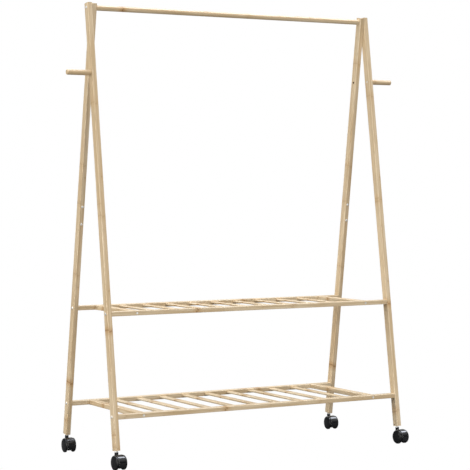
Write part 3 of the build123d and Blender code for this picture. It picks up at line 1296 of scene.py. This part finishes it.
@dataclass
class Fasteners:
    """Every bolt and screw, and the inserts that the bolts go into.

    Attributes:
        kinds: the bolts and screws.
        plated: their finish.
        brass: finish of the inserts.
    """

    kinds: list[FastenerKind] = field(
        default_factory=lambda: [
            bolt("rail_bolts", away_from_rack, seed=3),
            bolt("shelf_bolts", away_from_rack, seed=5),
            bolt("splice_bolts", into_a_frame, seed=8),
            wood_screw("wood_screws", screw_outward, seed=13),
        ]
    )
    plated: PlatedMetal = PlatedMetal("nickel_plate")
    brass: PlatedMetal = PlatedMetal("insert_brass", colour=(0.70, 0.55, 0.28), roughness=0.30)

    def build(self) -> list[bpy.types.Object]:
        """Sets every kind.

        Returns:
            The pieces.
        """
        setter = fastener_tree()
        plated = self.plated.make()
        pieces = [kind.build(setter, plated) for kind in self.kinds]
        pieces.append(dress("threaded_inserts", self.brass.make()))
        return pieces


# ---- studio --------------------------------------------------------------------------------
COOL: Colour = (0.93, 0.98, 1.09)
NEUTRAL: Colour = (1.02, 1.00, 0.95)
WHITE = (1.0, 1.0, 1.0, 1.0)


@dataclass
class Lamp:
    """A rectangular soft light.

    Attributes:
        name: its name.
        place: where it is.
        aim: what it points at.
        size: length of its sides, in metres.
        power: in watts.
        colour: of its light.
    """

    name: str
    place: Vector
    aim: Vector
    size: tuple[float, float]
    power: float
    colour: Colour

    def build(self) -> None:
        """Puts the light in the scene."""
        data = bpy.data.lights.new(self.name, "AREA")
        data.shape = "RECTANGLE"
        data.size, data.size_y = self.size
        data.energy = self.power
        data.color = self.colour
        made = bpy.data.objects.new(self.name, data)
        made.location = self.place
        made.rotation_euler = (self.aim - self.place).to_track_quat("-Z", "Y").to_euler()
        bpy.context.scene.collection.objects.link(made)


@dataclass
class Studio:
    """A white room with soft lights above and on three sides, and the camera.

    Attributes:
        eye: where the camera is.
        gaze: the direction that it looks in.
        lens: focal length in millimetres.
        sensor: width of the camera's sensor in millimetres.
        rise: vertical lens shift.
        far: how far the camera sees, in metres.
        horizon: strength of the light from low all round.
        zenith: strength of the light from straight above.
        low_sky: how far up horizon reaches, as the upward part of a direction.
        high_sky: where zenith begins, in the same way.
        floor_grey: how light the floor is to everything but the camera.
        floor_reach: half the floor's side, in metres.
        lamps: the soft lights. The overhead one reaches to the right, where the hoods mirror it.
    """

    eye: Vector = field(default_factory=lambda: Vector((-2.9745, -5.1084, 0.9250)))
    gaze: Vector = field(default_factory=lambda: Vector((0.5044, 0.8635, -0.0017)))
    lens: float = 131.8
    sensor: float = 36.0
    rise: float = -0.1154
    far: float = 100.0
    horizon: float = 0.06
    zenith: float = 0.95
    low_sky: float = 0.1
    high_sky: float = 0.95
    floor_grey: float = 0.08
    floor_reach: float = 20.0
    lamps: list[Lamp] = field(
        default_factory=lambda: [
            Lamp("overhead", Vector((2.4, 0.0, 6.8)), Vector((2.4, 0, 0)), (8.8, 3.0), 590.0, COOL),
            Lamp("left", Vector((-7.5, 0.5, 1.2)), Vector((0, 0, 0.4)), (4.2, 3.2), 450.0, NEUTRAL),
            Lamp("front", Vector((-0.6, -7.5, 1.3)), Vector((0, 0, 0.4)), (3.6, 3.2), 325.0, NEUTRAL),
            Lamp("back", Vector((0.3, 4.6, 4.4)), Vector((0, 0, 0.7)), (2.6, 2.6), 175.0, NEUTRAL),
        ]
    )

    def build(self) -> None:
        """Makes the camera, the floor and all the light."""
        self.camera()
        self.floor()
        self.world()
        for lamp in self.lamps:
            lamp.build()
        bpy.context.scene.view_settings.view_transform = "Standard"

    def camera(self) -> None:
        """Makes the camera the scene's own."""
        data = bpy.data.cameras.new("camera")
        data.lens = self.lens
        data.sensor_width = self.sensor
        data.shift_y = self.rise
        data.clip_end = self.far
        made = bpy.data.objects.new("camera", data)
        made.location = self.eye
        made.rotation_euler = self.gaze.to_track_quat("-Z", "Y").to_euler()
        bpy.context.scene.collection.objects.link(made)
        bpy.context.scene.camera = made

    def floor(self) -> None:
        """Makes the white floor, which gives back less light than it shows."""
        half = self.floor_reach
        data = bpy.data.meshes.new("floor")
        corners = [(-half, -half, 0), (half, -half, 0), (half, half, 0), (-half, half, 0)]
        data.from_pydata(corners, [], [(0, 1, 2, 3)])
        surface = Surface("white_floor")
        graph = surface.graph
        surface.set(base_color=(self.floor_grey,) * 3, roughness=1.0)
        seen = graph.add("ShaderNodeLightPath").outputs["Is Camera Ray"]
        glow = graph.add("ShaderNodeEmission", None, {"Color": WHITE, "Strength": 1.0})
        mix = graph.add("ShaderNodeMixShader", None, {0: seen, 1: surface.shader, 2: glow})
        graph.feed(graph.tree.nodes["Material Output"].inputs["Surface"], mix)
        data.materials.append(surface.material)
        linked("floor", data)

    def world(self) -> None:
        """Surrounds the rack with white, which lights it less than it shows."""
        world = bpy.data.worlds.new("white")
        world.use_nodes = True
        graph = Graph(world.node_tree)
        seen = Value(graph, graph.add("ShaderNodeLightPath").outputs["Is Camera Ray"])
        _, _, up = graph.split(graph.add("ShaderNodeTexCoord").outputs["Generated"])
        light = up.ramp(self.low_sky, self.high_sky) * (self.zenith - self.horizon) + self.horizon
        strength = light + seen * (1.0 - light)
        knobs = {"Color": WHITE, "Strength": strength}
        sky = graph.add("ShaderNodeBackground", None, knobs)
        graph.feed(world.node_tree.nodes["World Output"].inputs["Surface"], sky)
        bpy.context.scene.world = world


def main() -> None:
    """Builds the studio and then the rack, part by part."""
    logging.basicConfig(level=logging.INFO, format="%(message)s")
    Studio().build()
    rows = slat_row_tree()
    parts = {
        "legs": Legs().build(),
        "rail and pegs": RailAndPegs().build(),
        "lower shelf": Shelf("lower", front_knuckle=-0.142, back_knuckle=0.21).build(rows),
        "upper shelf": Shelf("upper", front_knuckle=-0.225, back_knuckle=0.12).build(rows),
        "casters": Casters().build(),
        "fasteners": Fasteners().build(),
    }
    for part, pieces in parts.items():
        for piece in pieces:
            log.info("%s: %s", part, piece.name)


if __name__ == "__main__":
    main()
